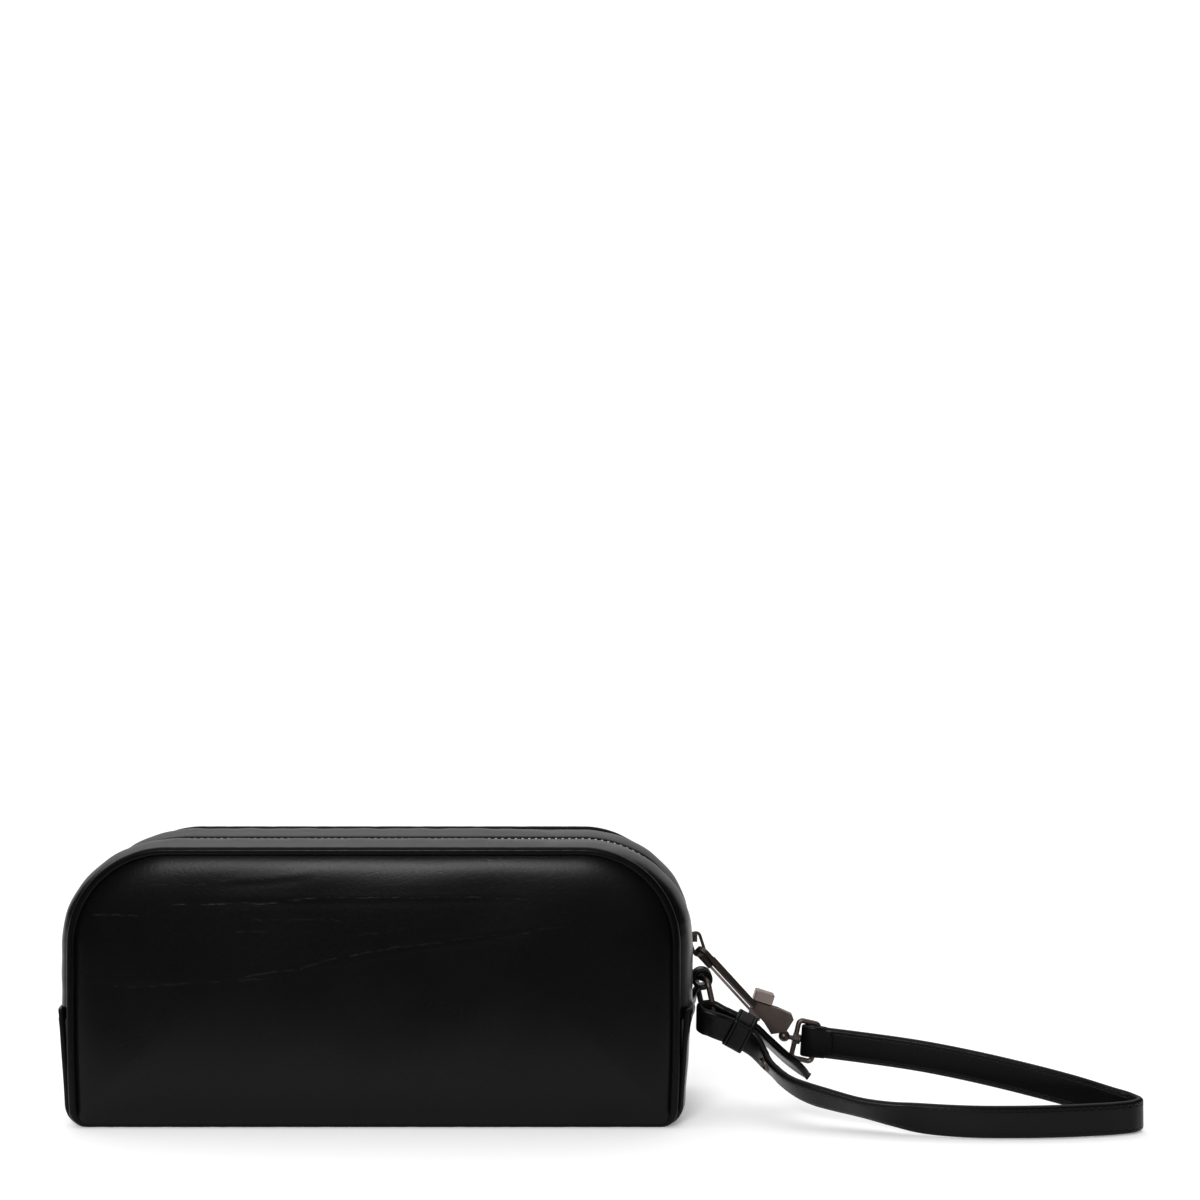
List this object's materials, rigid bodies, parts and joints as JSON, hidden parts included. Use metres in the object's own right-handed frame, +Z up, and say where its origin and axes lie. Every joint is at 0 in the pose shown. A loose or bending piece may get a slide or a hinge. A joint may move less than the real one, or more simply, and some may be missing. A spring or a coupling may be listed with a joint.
{
  "type": "makeup bag",
  "caption": "Dome-topped leather zip pouch with piped seams, a ring at one side and a wrist strap clipped to the zip slider by a snap hook.",
  "frame": {"origin": "middle of the base, on the surface that the bag stands on", "axes": "+X towards the ring and strap, -Y is the front panel, +Z up"},
  "size_m": [0.4028, 0.0864, 0.1045],
  "materials": {
    "black_leather": "smooth calf leather with a soft sheen and fine creases",
    "lining_cloth": "fine twill lining",
    "zip_tape": "woven zip tape",
    "zip_metal": "warm grey metal teeth",
    "nickel": "satin dark nickel on cast metal",
    "stiffener": "grey board"
  },
  "bodies": {
    "bag": {"front_panel": "black_leather", "back_panel": "black_leather", "front_piping": "black_leather", "back_piping": "black_leather", "base_gusset": "black_leather", "base_board": "stiffener", "front_strip_right": "black_leather", "front_strip_left": "black_leather", "back_strip_right": "black_leather", "back_strip_left": "black_leather", "front_tape_right": "zip_tape", "front_tape_left": "zip_tape", "back_tape_right": "zip_tape", "back_tape_left": "zip_tape", "front_teeth_right": "zip_metal", "front_teeth_left": "zip_metal", "back_teeth_right": "zip_metal", "back_teeth_left": "zip_metal", "zip_end_stops": "zip_metal", "front_lining": "lining_cloth", "back_lining": "lining_cloth", "gusset_lining": "lining_cloth", "slip_pocket": "lining_cloth", "ring_tab": "black_leather", "wrist_strap": "black_leather"},
    "front_mouth": {"front_lip": "black_leather", "front_lip_tape": "zip_tape", "front_lip_teeth": "zip_metal"},
    "back_mouth": {"back_lip": "black_leather", "back_lip_tape": "zip_tape", "back_lip_teeth": "zip_metal"},
    "slider": {"zip_slider": "nickel"},
    "link": {"puller_link": "nickel"},
    "hook": {"snap_hook": "nickel", "swivel_pin": "nickel", "swivel_washer": "nickel"},
    "thumb": {"thumb_slide": "nickel"},
    "loop": {"strap_loop": "nickel"},
    "ring": {"strap_ring": "nickel", "strap_keeper": "black_leather", "strap_rivet": "nickel"}
  },
  "joints": [
    {"name": "front_lip_fold", "type": "hinge", "parent": "bag", "child": "front_mouth", "pos_m": [0, -0.0328, 0.1039], "axis": [1, 0, 0], "range_deg": [0, 70]},
    {"name": "back_lip_fold", "type": "hinge", "parent": "bag", "child": "back_mouth", "pos_m": [0, 0.0328, 0.1039], "axis": [1, 0, 0], "range_deg": [-70, 0]},
    {"name": "zip_travel", "type": "hinge", "parent": "bag", "child": "slider", "pos_m": [0.0789, 0, 0.0654], "axis": [0, 1, 0], "range_deg": [-86, 0], "deforming": ["wrist_strap"]},
    {"name": "link_swing", "type": "hinge", "parent": "slider", "child": "link", "pos_m": [0.1207, 0, 0.0654], "axis": [0, 1, 0], "range_deg": [-70, 1], "deforming": ["wrist_strap"]},
    {"name": "hook_swing", "type": "hinge", "parent": "link", "child": "hook", "pos_m": [0.1223, 0, 0.0605], "axis": [0, 1, 0], "range_deg": [-60, 1], "deforming": ["wrist_strap"]},
    {"name": "thumb_travel", "type": "slide", "parent": "hook", "child": "thumb", "axis": [0.9537, 0, -0.3007], "range_m": [0, 0.0022], "stiffness_N_per_m": 250, "springref_m": -0.002},
    {"name": "loop_swivel", "type": "hinge", "parent": "hook", "child": "loop", "pos_m": [0.15539, 0, 0.02698], "axis": [0.9744, 0, -0.225], "range_deg": [-70, 70], "deforming": ["wrist_strap"]},
    {"name": "ring_swing", "type": "hinge", "parent": "bag", "child": "ring", "pos_m": [0.1232, -0.002, 0.0498], "axis": [0, 1, 0], "range_deg": [-24, 8], "deforming": ["wrist_strap"]}
  ],
  "couplings": [
    {"joint": "back_lip_fold", "follows": "front_lip_fold", "ratio": -1}
  ]
}
